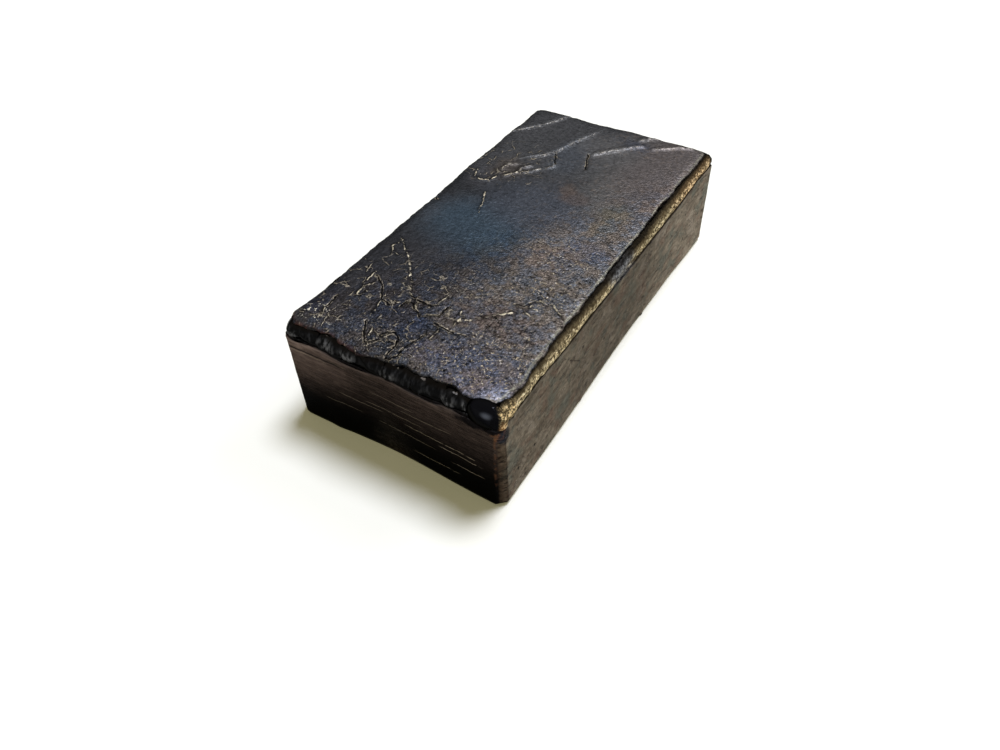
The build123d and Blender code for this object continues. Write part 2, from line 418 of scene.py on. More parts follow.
# %% Distance from a mark
def line_distance(line, across, along):
    """Distance of each place from a line, and on which side of it the place lies: + is left."""
    nearest = np.full(len(across), np.inf)
    side = np.ones(len(across))
    for (x0, y0), (x1, y1) in zip(line, line[1:]):
        way = np.array([x1 - x0, y1 - y0])
        share = np.clip(((across - x0) * way[0] + (along - y0) * way[1]) / (way @ way), 0, 1)
        off_x = across - x0 - share * way[0]
        off_y = along - y0 - share * way[1]
        distance = np.hypot(off_x, off_y)
        closer = distance < nearest
        nearest[closer] = distance[closer]
        side[closer] = np.sign(way[0] * off_y - way[1] * off_x)[closer]
    return nearest, side


# %% [markdown]
# A ridge or a crack is a bell curve across its line. A lap rises all at once at its line and sinks
# slowly away to its left. Where marks cross, the highest and the deepest count, so that nothing
# piles up. Each point also keeps its signed distance to the nearest crest and to the nearest crack.

# %% Raise and sink the crust
LAP_EDGE = 0.3                        # half the width over which a lap rises
WANDER = 0.35                         # how far a mark strays from its straight stretches
FAR = 9.0                             # stands for a distance beyond every mark


def mark_height(kind, height, width, distance, side):
    """How far one mark raises or sinks the crust."""
    if kind == "lap":
        return height * smooth(distance * side, -LAP_EDGE, LAP_EDGE) * np.exp(-distance / width)
    bell = height * np.exp(-((distance / width) ** 2))
    return bell if kind == "ridge" else -bell


flat_places = np.column_stack([x, y, np.zeros(len(points))])
stray_x = x + WANDER * (lumps(flat_places, 1.3, 1) + lumps(flat_places, 4.0, 2))
stray_y = y + WANDER * (lumps(flat_places, 1.3, 3) + lumps(flat_places, 4.0, 4))
raised = np.zeros(len(points))
sunk = np.zeros(len(points))
offsets = {"edge": np.full(len(points), FAR), "crack": np.full(len(points), FAR)}
for kind, height, width, line in MARKS:
    distance, side = line_distance(line, stray_x, stray_y)
    change = mark_height(kind, height, width, distance, side)
    raised = np.maximum(raised, change)
    sunk = np.minimum(sunk, change)
    nearest = offsets["crack" if kind == "crack" else "edge"]
    closer = distance < np.abs(nearest)
    nearest[closer] = (distance * side)[closer]
print("marks reach from", round(sunk.min(), 2), "to", round(raised.max(), 2))

# %% [markdown]
# ## Relief of the crust, the rim and the walls
# Three sizes of lump make a cast surface look real: broad swells, knots of a few millimetres and
# the crystals of the metal itself. Most of the relief pushes the skin along its own normals, and
# the sum is kept inside the block's box.

# %% Crust
swell = lumps(flat_places, 16.0, 5) * 0.16 + lumps(flat_places, 6.0, 6) * 0.07
pimple_area = smooth(lumps(flat_places, 20.0, 7) + smooth(y, 20, -60) * 0.5, -0.1, 0.6)
pimples = lumps(flat_places, 1.5, 8) * 0.07 + lumps(flat_places, 0.9, 9) * 0.05
pimples = pimples * (0.35 + 0.65 * pimple_area)
TOP_DROP = 0.30                       # keeps the highest fold inside the block's box
top_move = on_top * (swell + pimples + raised + sunk - TOP_DROP)

# %% [markdown]
# The crust's edge is broken, not cut. Three sizes of lump push it out and in along its columns, and
# here and there its lower half droops over the bead, most of all along the front.

# %% Ragged edge of the crust
DROOPING = 0.7                        # only what lies this far below the top droops
front_share = smooth(y, -70.0, -73.0)
ragged = (lumps(flat_places, 5.0, 10) * 0.45 + lumps(flat_places, 2.4, 11) * 0.50
          + lumps(flat_places, 1.2, 12) * 0.30)
droop = np.clip(lumps(flat_places, 3.6, 13) + 0.15, 0, 1) * (0.7 + 0.9 * front_share)
edge_weight = overhang * (1 - on_top)
out_ways = np.zeros((len(points), 3))
out_ways[ring_slice, :2] = np.tile(column_ways, (rows.shape[0], 1))
crust_shift = out_ways * (ragged * edge_weight)[:, None]
crust_shift[:, 2] -= droop * edge_weight * (z < high[2] - DROOPING)
print("crust's edge strays, mm:", np.round(np.percentile(ragged, [1, 99]), 2))

# %% [markdown]
# The bead is drawn up in soft vertical streaks where it is dark, and is granular where the metal is
# bare. Round knots stand on it where the liquid bulged out before it froze. A knot is an ellipsoid:
# points of the rim that lie inside it are pushed out to its surface, which keeps it smooth.

# %% Streaks and granules of the bead
BEAD_DROP = 0.12
right_side = smooth(x, 33.5, 36.0)
streaks = lumps(points, 3.6, 14, (1, 1, 2.0)) * 0.50 + lumps(points, 1.4, 15, (1, 1, 2.5)) * 0.13
granules = lumps(points, 2.8, 16) * 0.28 + lumps(points, 1.1, 17) * 0.22
rim_move = bead_middle * (streaks * (1 - right_side) + granules * right_side - BEAD_DROP)

# %% Knots of the rim
# Each knot: centre, half sizes and depth of the crease round it.
# The first is the dark drop at the near corner, which hangs over the lip of the wall.
KNOTS = [((32.3, -73.3, 34.9), (6.3, 2.9, 4.8), 0.35), ((21.0, -72.5, 34.7), (4.2, 3.2, 3.2), 0.3),
         ((11.0, -72.6, 34.8), (4.2, 3.2, 3.2), 0.1), ((1.5, -72.6, 34.9), (4.0, 3.3, 3.3), 0.25),
         ((-12.6, -72.6, 34.8), (4.5, 3.2, 3.2), 0.1), ((-22.0, -72.6, 34.8), (3.8, 3.2, 3.2), 0.3),
         ((-33.0, -72.8, 35.2), (3.2, 3.2, 3.2), 0.1), ((35.5, -69.6, 35.4), (2.7, 3.6, 3.2), 0.0),
         ((35.0, -60.5, 35.3), (2.9, 2.9, 2.9), 0.0), ((35.0, -44.0, 35.4), (2.8, 2.8, 2.8), 0.0),
         ((34.8, -22.0, 35.2), (2.9, 2.9, 2.9), 0.0), ((35.0, -52.0, 35.2), (2.8, 2.4, 2.8), 0.0),
         ((35.0, -33.0, 35.2), (2.8, 2.4, 2.8), 0.0), ((34.8, 16.0, 35.2), (2.8, 2.6, 2.8), 0.0),
         ((34.8, 30.0, 35.2), (2.8, 3.0, 2.8), 0.0)]
KNOT_PUSH = 2.6                       # the furthest that a knot pushes the rim out
CREASE_PLACE = 0.4                    # how far outside a knot its crease lies
CREASE_WIDTH = 0.6
lip_share = on_bead + 0.5 * under_crust + on_wall * smooth(z, 30.4, 32.0)


def knot_move(centre, half_sizes, pinch):
    """Pushes the rim out to a smooth knot where it lies inside one, and creases it just outside."""
    away = points - np.array(centre)
    depth = np.maximum(np.linalg.norm(away / half_sizes, axis=1), 0.05)
    length = np.linalg.norm(away, axis=1)
    push = np.clip((1 / depth - 1) * length, 0, KNOT_PUSH) * lip_share
    outside = (depth - 1) * min(half_sizes)
    crease = pinch * np.exp(-(((outside - CREASE_PLACE) / CREASE_WIDTH) ** 2)) * on_bead
    return away / np.maximum(length, 0.1)[:, None] * (push - crease)[:, None]


knot_shift = sum(knot_move(*knot) for knot in KNOTS)
print("knots:", len(KNOTS), "furthest push, mm:", round(np.linalg.norm(knot_shift, axis=1).max(), 2))

# %% [markdown]
# The walls are copies of the mould, so they only swell a little and keep a fine grain that runs
# along them. Two small burrs stick out at the foot of the right wall, where metal crept under it.

# %% Walls
wall_swell = lumps(points, 15.0, 18) * 0.16 + lumps(points, 5.0, 19, (2.2, 2.2, 0.7)) * 0.06
wall_grain = lumps(points, 1.6, 20, (2.4, 2.4, 1)) * 0.05
WALL_DROP = 0.16                      # keeps the highest swell inside the block's box
wall_fade = smooth(z, 0.3, 2.0)       # the foot stays in its place on the floor
wall_move = on_wall * wall_fade * (wall_swell + wall_grain - WALL_DROP)
# Each burr: its place along the wall and how far it sticks out
BURRS = [(-27.5, 0.45), (20.5, 0.9)]
BURR_HALF_WIDTH = 0.9
BURR_HEIGHT = 1.3
for burr_y, burr_size in BURRS:
    bump = np.exp(-(((y - burr_y) / BURR_HALF_WIDTH) ** 2) - (z / BURR_HEIGHT) ** 2)
    wall_move += burr_size * on_wall * (x > 34) * bump
print("walls move, mm:", round(wall_move.min(), 2), "to", round(wall_move.max(), 2))

# %% Put the relief on
normals = skin_normals()
along_normals = (top_move + rim_move + wall_move)[:, None] * normals
points = points + along_normals + crust_shift + knot_shift
points = np.clip(points, low, high)
move_skin(points)
top_z = points[:GRID_COUNT, 2]
print("top from", round(top_z.min(), 2), "to", round(top_z.max(), 2))

# %% [markdown]
# ## Numbers for the material
# Metal is rubbed bright where it stands out and stays dark in its hollows. The finished skin tells
# both: a point that stands out from the middle of its neighbours is worn. This and the other
# shares go into the mesh as attributes, for the material to read.


# %% Wear
def standing_out():
    """How far each point stands out from the middle of its neighbours, in millimetres."""
    ends = np.zeros(len(skin.edges) * 2, np.int32)
    skin.edges.foreach_get("vertices", ends)
    first, second = ends.reshape(-1, 2).T
    total = np.zeros_like(points)
    count = np.zeros(len(points))
    for here, there in ((first, second), (second, first)):
        np.add.at(total, here, points[there])
        np.add.at(count, here, 1)
    return np.sum((points - total / count[:, None]) * skin_normals(), axis=1)


standing = standing_out()
print("standing out, mm:", np.round(np.percentile(standing, [1, 50, 99]), 3))

# %% Attributes for the material
NEAR_MARK = 1.0                       # millimetres over which a mark's share fades
OFFSET_LIMIT = 3                      # distances beyond this are all the same to the material
WEAR_DEPTH = 0.06                     # standing out this far, a point is fully worn
for name, values in {"on_bead": on_bead, "on_wall": on_wall, "bead_rise": bead_rise,
                     "across": points[:, 0], "along": points[:, 1], "height": points[:, 2],
                     "under_crust": under_crust, "crust_rim": crust_rim, "crust_edge": edge_weight,
                     "edge_offset": np.clip(offsets["edge"], -OFFSET_LIMIT, OFFSET_LIMIT),
                     "edge_near": np.exp(-((offsets["edge"] / NEAR_MARK) ** 2)) * on_top,
                     "crack_offset": np.clip(offsets["crack"], -OFFSET_LIMIT, OFFSET_LIMIT),
                     "crack_near": np.exp(-((offsets["crack"] / NEAR_MARK) ** 2)) * on_top,
                     "worn": np.clip(standing / WEAR_DEPTH, 0, 1),
                     "hollow": np.clip(-standing / WEAR_DEPTH, 0, 1)}.items():
    layer = skin.attributes.new(name, "FLOAT", "POINT")
    layer.data.foreach_set("value", values.astype(np.float32))
for polygon in skin.polygons:
    polygon.use_smooth = True
print("attributes:", len(skin.attributes))

# %% [markdown]
# ## Writing a material as sums
# A node tree is easier to read as arithmetic. This small class wraps one output of a node. Sums on
# it add Math nodes. Any other node comes from its method called node, which takes the node's type,
# then its settings, and then the values or links of its sockets.


# %% Shader sums
class Wire:
    """One output in a node tree. Arithmetic on it adds Math nodes."""

    def __init__(self, tree, socket=None):
        self.tree = tree
        self.socket = socket

    def node(self, kind, settings=None, sockets=None, output=0):
        """Adds a node with these settings and socket values or links, and gives one output."""
        made = self.tree.nodes.new(kind)
        for name, value in (settings or {}).items():
            setattr(made, name, value)
        for name, value in (sockets or {}).items():
            if isinstance(value, Wire):
                self.tree.links.new(value.socket, made.inputs[name])
            else:
                made.inputs[name].default_value = value
        return Wire(self.tree, made.outputs[output] if made.outputs else None)

    def beside(self, output):
        """Another output of the same node."""
        return Wire(self.tree, self.socket.node.outputs[output])

    def math(self, operation, *values):
        """Adds a Math node on numbers or wires."""
        return self.node("ShaderNodeMath", {"operation": operation}, dict(enumerate(values)))

    def __add__(self, other):
        return self.math("ADD", self, other)

    def __radd__(self, other):
        return self.math("ADD", other, self)

    def __sub__(self, other):
        return self.math("SUBTRACT", self, other)

    def __rsub__(self, other):
        return self.math("SUBTRACT", other, self)

    def __mul__(self, other):
        return self.math("MULTIPLY", self, other)

    def __rmul__(self, other):
        return self.math("MULTIPLY", other, self)

    def __abs__(self):
        return self.math("ABSOLUTE", self)


# %% [markdown]
# ## Where a point lies
# Textures here follow the real object, so they are placed by its own coordinates, turned from
# metres into millimetres. A Mapping node does that, and also each stretch and push, because it
# works on a whole place at once. Three of the mesh's numbers say how far a point lies across and
# along the ingot and how high it is.
# Cycles holds the unfinished numbers of a material in a small store. So each one is made shortly
# before it is used, and a colour or a place never goes into a socket for a single number.

# %% Place
material = bpy.data.materials.new("cast_alloy")
material.use_nodes = True
material.node_tree.nodes.clear()
bench = Wire(material.node_tree)
place_m = bench.node("ShaderNodeTexCoord", output="Object")
place = bench.node("ShaderNodeMapping", None, {"Vector": place_m, "Scale": (1 / MM,) * 3})
numbers_read = {}


def attribute(name):
    """A number that the mesh holds at each point. Each one is read once."""
    if name not in numbers_read:
        numbers_read[name] = bench.node("ShaderNodeAttribute", {"attribute_name": name}, output="Fac")
    return numbers_read[name]


across, along, height = (attribute(name) for name in ("across", "along", "height"))


def report(part):
    """Prints how many nodes the material has after this part."""
    print(part + ", nodes so far:", len(material.node_tree.nodes))


report("place")

# %% [markdown]
# ## Noise and cells
# A cast surface is never even. Noise gives clouds, streaks and foil, depending on its size, how it
# is stretched and how much fine detail it holds. Cells stand for crystals. Either can be read at a
# place that other noise has pushed about, so that its lines wander.


# %% Noise and cells
def speckle(size, detail=2.0, rough=0.5, output="Fac"):
    """Noise from 0 to 1. Size is how far apart its lumps are in millimetres, or a tuple of X, Y, Z."""
    where, scale = place, 1.0
    if isinstance(size, tuple):
        where = bench.node("ShaderNodeMapping", {"vector_type": "TEXTURE"},
                           {"Vector": place, "Scale": size})
    else:
        scale = 1 / size
    return bench.node("ShaderNodeTexNoise", None, {"Vector": where, "Scale": scale, "Detail": detail,
                                                   "Roughness": rough}, output=output)


def cells(where, size, output="Distance", feature="F1"):
    """Cells of about this size in millimetres, such as the crystals of a casting."""
    return bench.node("ShaderNodeTexVoronoi", {"feature": feature},
                      {"Vector": where, "Scale": 1 / size}, output=output)


def strayed(size, reach, detail=3.0):
    """The place, pushed about by noise of this size as far as reach, in millimetres."""
    pushed = bench.node("ShaderNodeMapping", None, {
        "Vector": place, "Location": speckle(size, detail, 0.6, "Color"), "Scale": (1 / reach,) * 3})
    return bench.node("ShaderNodeMapping", None, {"Vector": pushed, "Scale": (reach,) * 3})


# %% [markdown]
# ## Masks and colours
# A mask is a number from 0 to 1 over the surface, and most are cut out of noise or a distance by a
# soft band. Colours are mixed by such masks. To make a colour lighter or darker, it is mixed with
# black by a factor that may be more than 1.


# %% Masks and colours
# A Mix node has sockets for every kind of value, and these are its sockets for colours.
SHARE, FIRST, SECOND = 0, 6, 7
MIXED = 2


def band(value, start, end):
    """0 at start, 1 at end, with a soft curve between them."""
    return bench.node("ShaderNodeMapRange", {"interpolation_type": "SMOOTHSTEP"},
                      {"Value": value, "From Min": start, "From Max": end})


def blend(share, first, second):
    """Mixes two colours: share 0 is the first, and share 1 the second."""
    return bench.node("ShaderNodeMix", {"data_type": "RGBA"},
                      {SHARE: share, FIRST: first, SECOND: second}, output=MIXED)


def tone(red, green, blue):
    """A colour for a socket."""
    return (red, green, blue, 1)


def lit(colour, factor):
    """A colour made lighter or darker by a factor: its mix with black, which may run on past it."""
    return bench.node("ShaderNodeMix", {"data_type": "RGBA", "clamp_factor": False},
                      {SHARE: factor, FIRST: tone(0, 0, 0), SECOND: colour}, output=MIXED)


def tinted(colour, tint):
    """A colour multiplied by another, part by part."""
    return bench.node("ShaderNodeMix", {"data_type": "RGBA", "blend_type": "MULTIPLY"},
                      {SHARE: 1.0, FIRST: colour, SECOND: tone(*tint)}, output=MIXED)


# %% [markdown]
# ## Soft patches
# Soot, heat colours and bare spots lie in patches with ragged edges. A spherical gradient, moved
# and stretched, falls from 1 in the middle of a patch to 0 at twice its size, and a band cuts the
# patch out halfway. Noise on the gradient makes the edge ragged. A patch of the top reaches far up
# and down, so that only its place from above counts.

# %% Soft patches
RAGGED = 9.0                          # how far the edge of a patch strays
TOP = 39.0                            # height of the middle of a patch of the top
DEEP = 100                            # and how far it reaches up and down
ragged_edge = speckle(5.0, 5.0, 0.6) - 0.5


def patch(centre, half_size, edge=0.5, ragged=True):
    """A soft patch, 1 inside and 0 outside, with a ragged or a clean edge. Sizes in millimetres."""
    local = bench.node("ShaderNodeMapping", {"vector_type": "TEXTURE"}, {
        "Vector": place, "Location": centre, "Scale": tuple(2 * part for part in half_size)})
    closeness = bench.node("ShaderNodeTexGradient", {"gradient_type": "SPHERICAL"}, {"Vector": local},
                           output="Fac")
    if ragged:
        mean_size = (half_size[0] + min(half_size[1:])) / 2
        closeness = closeness * (1 + ragged_edge * (RAGGED / mean_size))
    return band(closeness, (1 - edge) / 2, (1 + edge) / 2)


def top_patch(middle, half_size):
    """A ragged patch of the top, from its middle (x, y) and its half sizes."""
    return patch((*middle, TOP), (*half_size, DEEP))


# %% [markdown]
# ## The crust's heat colours and painted sheen
# Oxide that grew while the metal was hot is thin and shows colours, like those on tempered steel:
# teal and blue in the middle, slate on the left and a warm grey on the right. Each is a soft patch
# with a ragged edge, and toward the near corner the hue also changes every few millimetres.
# The lighter grey patches toward the right and the back are partly painted sheen, and the small
# pale patch at the near corner of the crust's edge is a painted highlight.

# %% Heat colours and painted sheen
# Each: middle (x, y), half sizes, strength, colour
HEAT_COLOURS_AND_SHEEN = [
    ((-14, 52), (34, 26), 0.85, (0.055, 0.055, 0.057)),
    ((28, 0), (20, 100), 0.85, (0.082, 0.079, 0.076)),
    ((28, 52), (15, 28), 0.8, (0.080, 0.069, 0.067)),
    ((-13, -9), (17, 15), 0.85, (0.034, 0.050, 0.066)),
    ((-2, 10), (18, 13), 0.75, (0.048, 0.053, 0.064)),
    ((-6, 45), (6, 13), 0.6, (0.052, 0.058, 0.068)),
    ((11, 62), (6, 4), 0.6, (0.040, 0.045, 0.062)),
    ((4, 55), (12, 8), 0.6, (0.082, 0.080, 0.080)),
    ((25, -4), (7, 5), 0.7, (0.054, 0.060, 0.078)),
    ((17, -13), (9, 8), 0.7, (0.080, 0.070, 0.066)),
    ((18, -46), (14, 8), 0.7, (0.058, 0.050, 0.049)),
    ((-5, -58), (8, 5), 0.85, (0.024, 0.030, 0.045)),
    ((9, -65), (6, 4), 0.7, (0.034, 0.037, 0.054)),
    ((22, -63), (16, 8), 0.8, (0.052, 0.053, 0.065)),
    ((28, -70), (9, 5), 0.8, (0.090, 0.084, 0.094)),
    ((-32, -62), (4, 6), 0.6, (0.026, 0.027, 0.040)),
    ((-22, -46), (20, 26), 0.7, (0.023, 0.023, 0.026)),
    # painted highlight where the crust's edge turns down at the near corner
    ((34, -71), (3.5, 3.5), 0.75, (0.22, 0.22, 0.25)),
    ((24, 19), (5, 5), 0.5, (0.072, 0.072, 0.056)),
    ((24, 9), (4, 4), 0.4, (0.080, 0.072, 0.052)),
    ((8, 21), (5, 4), 0.35, (0.074, 0.052, 0.043)),
    ((-22, 27), (6, 7), 0.5, (0.066, 0.054, 0.044)),
    ((4, 24), (3, 4), 0.5, (0.070, 0.052, 0.042)),
]
cloud = speckle(14, 4.0, 0.55)
mottle = speckle(3.0, 4.0, 0.6)
crust = blend(band(cloud, 0.3, 0.7), tone(0.024, 0.025, 0.027), tone(0.042, 0.042, 0.045))
for middle, half_size, strength, colour in HEAT_COLOURS_AND_SHEEN:
    crust = blend(top_patch(middle, half_size) * strength, crust, tone(*colour))
report("heat colours")

# %% [markdown]
# ## The grain of the crust
# Near the front the metal shrank between its crystals, so the crust is pebbled and glitters where a
# crystal faces the light. Cells with soft cones on them make the pebbles as bump, which catches
# real light, and colour changes a little from cell to cell, partly as painted glints and shade on
# the pebbles. The grain fades toward the back.

# %% Grain
CRYSTAL = 0.72                        # spacing of the crystals
grain_place = strayed(1.2, 0.9)
pebble = cells(grain_place, CRYSTAL)
cell_light = bench.node("ShaderNodeSeparateColor", None, {
    "Color": cells(grain_place, CRYSTAL, "Color")}, output="Red")
cell_tint = cell_light.beside("Green")
leather = speckle(1.1, 4.0, 0.72)
coarse = band(across * 0.8 - along * 0.5, -12, 40) * 0.9 + 0.1
hue = band(speckle(4.5, 3.0, 0.6), 0.44, 0.58)
mixed_hues = blend(hue, tinted(crust, (0.87, 0.95, 1.13)), tinted(crust, (1.17, 1.0, 0.88)))
crust = blend(band(coarse, 0.1, 0.6) * 0.8, crust, mixed_hues)
dust = band(speckle(1.7, 4.0, 0.7), 0.50, 0.66) * band(across, -12, 10) * band(cloud, 0.36, 0.56)
crust = blend(dust * 0.5, crust, tone(0.112, 0.090, 0.074))
# Lighter and darker cells and lumps: random tone, and partly painted glints and shade on the pebbles.
grain_tone_and_glints = 1 - 0.08 * coarse + coarse * 1.1 * (cell_light - 0.5)
grain_tone_and_glints = grain_tone_and_glints + (leather - 0.5) * (1.8 + 1.4 * coarse)
crust = lit(crust, grain_tone_and_glints)
report("grain")

# %% [markdown]
# In some areas thin pale curls lie between the crystals: flaked oxide, and partly painted glints.
# They are the borders of warped cells, kept only in short pieces, with a little painted shade
# beside them.

# %% Pale curls between the crystals
CURL = 1.1                            # spacing of the curls
# Each: middle (x, y), half sizes, strength
CURL_AREAS = [((25, -29), (9, 9), 1.2), ((19, -10), (10, 8), 1.0), ((24, -60), (12, 13), 1.1),
              ((10, -34), (12, 10), 0.4), ((4, -66), (20, 6), 0.55)]
curl_area = 0.15 * coarse
for middle, half_size, strength in CURL_AREAS:
    curl_area = curl_area + top_patch(middle, half_size) * strength
curl_edge = cells(strayed(0.9, 1.0), CURL, feature="DISTANCE_TO_EDGE") * CURL
curl_places = band(speckle(0.9, 2.0, 0.6), 0.52, 0.62) * band(speckle(3.0, 3.0, 0.6), 0.36, 0.52)
curl = band(curl_edge, 0.15, 0.03) * curl_places * curl_area
curl_and_glint_colour = blend(cell_tint, tone(0.46, 0.37, 0.23), tone(0.42, 0.40, 0.39))
# Painted shade beside the curls.
crust = lit(crust, 1 - 0.35 * band(curl_edge, 0.45, 0.15) * curl_places * curl_area)
crust = blend(curl * 0.75, crust, curl_and_glint_colour)
# Short bright strokes near the left front corner, partly painted glints.
strokes = band(curl_edge, 0.14, 0.04) * band(speckle(1.3, 2.0), 0.57, 0.62)
strokes = strokes * top_patch((-28, -67), (6, 4))
crust = blend(strokes * 0.9, crust, tone(0.62, 0.57, 0.46))
report("curls")

# %% [markdown]
# ## Marks and wrinkles
# Each point of the mesh knows how far it lies from the nearest mark and on which side. That number
# stays sharp between points, so the shader can draw a crest far thinner than a face. Between the
# marks, the edges of large warped cells give short stray wrinkles.

# %% Marks
wander = 0.6 * (speckle(1.3, 2.0) - 0.5)
broken = band(speckle(1.8, 3.0, 0.6), 0.44, 0.56)
at_back = band(along, 18, 34)
edge_distance = abs(attribute("edge_offset") + wander)
crack_distance = abs(attribute("crack_offset") + wander)
thick = band(speckle(2.4, 3.0), 0.36, 0.62)
crest_width = 0.15 + 0.26 * thick + 0.40 * at_back
crest = band(edge_distance, crest_width, 0.03) * band(attribute("edge_near"), 0.1, 0.5) * broken
crest = crest * (0.45 + 0.55 * thick)
crease = band(crack_distance, 0.29, 0.09) * band(attribute("crack_near"), 0.1, 0.5)
crack_lip = band(abs(crack_distance - 0.4), 0.22, 0.05) * attribute("crack_near") * broken
report("marks")

# %% Stray wrinkles
WEB = 4.6                             # spacing of the wrinkles
front_left = band(along, -28, -42) * band(across, 16, 4)
back_left = band(across, -4, -14) * band(along, 12, 20) * band(along, 48, 40)
wrinkled = (front_left + back_left) * band(speckle(3.2, 2.0), 0.50, 0.60)
web_distance = cells(strayed(4.0, 3.5), WEB, feature="DISTANCE_TO_EDGE") * WEB
wrinkle = band(web_distance, 0.20, 0.04) * wrinkled
report("wrinkles")

# %% [markdown]
# The crests have lost their oxide, so they are pale, and they also carry painted highlights, widest
# toward the back. The cracks are black. On either side of a fold or a wrinkle the crust is painted
# in shade, except toward the back, where the folds get painted light.

# %% Paint the marks and wrinkles
# Painted shade on either side of a fold.
crust = lit(crust, 1 - (0.5 - 0.25 * at_back) * band(edge_distance, 1.0, 0.3) * attribute("edge_near"))
# Painted light on the folds toward the back.
fold_light = at_back * attribute("edge_near") * band(leather, 0.36, 0.60)
crust = lit(crust, 1 + 1.3 * fold_light)
# Pale crests: bare metal, and partly painted highlights.
crest_highlight_share = crest * (0.95 - 0.55 * at_back)
crest_and_highlight_colour = blend(at_back, tone(0.60, 0.53, 0.40), tone(0.36, 0.33, 0.29))
crust = blend(crest_highlight_share, crust, crest_and_highlight_colour)
crust = blend(crack_lip * 0.7, crust, tone(0.34, 0.29, 0.22))
crust = blend(crease * 0.9, crust, tone(0.004, 0.004, 0.004))
# Painted shade beside the wrinkles.
crust = lit(crust, 1 - 0.45 * wrinkled * band(web_distance, 0.7, 0.25))
crust = blend(wrinkle * 0.6, crust, tone(0.30, 0.26, 0.20))
crust = lit(crust, 1 - 0.6 * attribute("hollow"))

# %% [markdown]
# Where the crust turns down at its right edge it is painted lighter, as a sheen of the light from
# the right, with a thin pale line just before the edge. Its broken edge and its underside are
# painted dark, as shade under the overhang, with some red at the left end of the front.

# %% Paint the crust's edge
# Painted sheen where the crust turns down at its right edge.
right_edge = band(across, 29.5, 33.5) * attribute("crust_rim")
edge_sheen = 0.8 * band(along, -8, -28) + 0.4 * band(along, 10, 26)
crust = lit(crust, 1 + edge_sheen * right_edge * band(leather, 0.32, 0.6))
rim_line = band(attribute("crust_rim"), 0.46, 0.56) * band(attribute("crust_rim"), 0.78, 0.68)
rim_line = rim_line * band(across, 30, 32) * band(mottle, 0.36, 0.56)
crust = blend(rim_line * 0.6, crust, tone(0.25, 0.24, 0.19))
lip_red = patch((-24, -74, 38), (14, 5, 4)) * band(mottle, 0.36, 0.56)
# Painted shade on the crust's broken edge and underside, with some red toward the left of the front.
underside_shade_and_red = blend(lip_red, tone(0.006, 0.006, 0.006), tone(0.052, 0.020, 0.014))
crust = blend(attribute("crust_edge") * 0.9, crust, underside_shade_and_red)
report("crust's edge")

# %% [markdown]
# ## The rim
# Along the front the bead is black, smooth and glossy. Along the right the oxide has come off it,
# and the bare alloy glitters like gold between dark pits. Both get painted shade high up under the
# crust and down in the groove beside the lip.

# %% Front of the rim
rise = attribute("bead_rise")
upright_streaks = speckle((1.3, 3.4, 3.4), 4.0, 0.62)
black_rim = blend(band(upright_streaks, 0.44, 0.72), tone(0.0035, 0.0035, 0.0035),
                  tone(0.021, 0.021, 0.022))
# Each painted highlight: place (x, z) and half width
RIM_HIGHLIGHTS = [(-33, 34.6, 1.6), (-21, 35, 2.6), (-13, 35, 2.0), (1, 35, 2.4), (20.5, 35, 2.0),
                  (26.5, 34.6, 1.2)]
for light_x, light_z, light_size in RIM_HIGHLIGHTS:
    highlight_spot = patch((light_x, -75, light_z), (light_size, 5, 1.8), edge=0.7)
    highlight_share = highlight_spot * band(upright_streaks, 0.42, 0.62) * 0.8
    black_rim = blend(highlight_share, black_rim, tone(0.110, 0.109, 0.110))
report("black rim")

# %% Bare metal of the rim
gold_side = band(across + 0.6 * (speckle(2.0) - 0.5), 34.6, 35.4)
left_side = band(across, -33.0, -35.5)
back_side = band(along, 70.0, 73.0)
foil = speckle((0.75, 1.1, 0.75), 5.0, 0.80)
foil_light = band(foil, 0.46, 0.56)
shade_start = 0.54 - 0.10 * band(along, -40, -5) + 0.06 * band(along, 8, 24)
core = band(rise, 0.04, 0.14) * band(rise, shade_start + 0.04, shade_start - 0.16)
gold_patches = band(speckle(4.0, 3.0), 0.38, 0.56)
gold_strength = foil_light * (0.10 + 0.90 * core) * (0.55 + 0.45 * gold_patches)
gold_rim = blend(mottle, tone(0.030, 0.025, 0.015), tone(0.105, 0.074, 0.038))
gold_rim = blend(gold_strength, gold_rim, tone(0.95, 0.78, 0.47))
# The palest flecks in the middle of the bead are painted glints.
gold_rim = blend(band(foil, 0.57, 0.64) * core, gold_rim, tone(1.0, 0.95, 0.76))

# %% [markdown]
# The bare metal is brightest at the near corner, in torn foil with rust between it. In the middle
# of the side it has kept a bluish skin, and toward the back it turns coppery.

# %% Changes along the bare metal
corner_gold = patch((36.5, -72.5, 36), (3.5, 4.5, 5)) * 0.9
gold_rim = blend(corner_gold * band(foil, 0.50, 0.58), gold_rim, tone(0.90, 0.66, 0.33))
# The palest flecks at the corner are painted glints.
gold_rim = blend(corner_gold * band(foil, 0.62, 0.68), gold_rim, tone(1.0, 0.97, 0.88))
corner_rust = patch((37.0, -74.2, 33.4), (2.2, 2.2, 2.0)) * band(foil, 0.64, 0.50)
gold_rim = blend(corner_rust * 0.8, gold_rim, tone(0.20, 0.080, 0.025))
bluish = patch((38, -2, 36), (6, 8, 8)) * 0.8
bluish_skin = blend(foil_light, tone(0.050, 0.053, 0.062), tone(0.30, 0.31, 0.33))
gold_rim = blend(bluish, gold_rim, bluish_skin)
coppery = patch((38, 58, 36), (6, 18, 8)) * 0.5
gold_rim = blend(coppery, gold_rim, tinted(gold_rim, (1.1, 0.86, 0.74)))
report("bare metal")

# %% [markdown]
# The sides are now put together. The rim's two hidden sides are guessed as mostly dark with a few
# bare spots. The drop at the near corner is one clean, glossy black bead with a dull highlight.

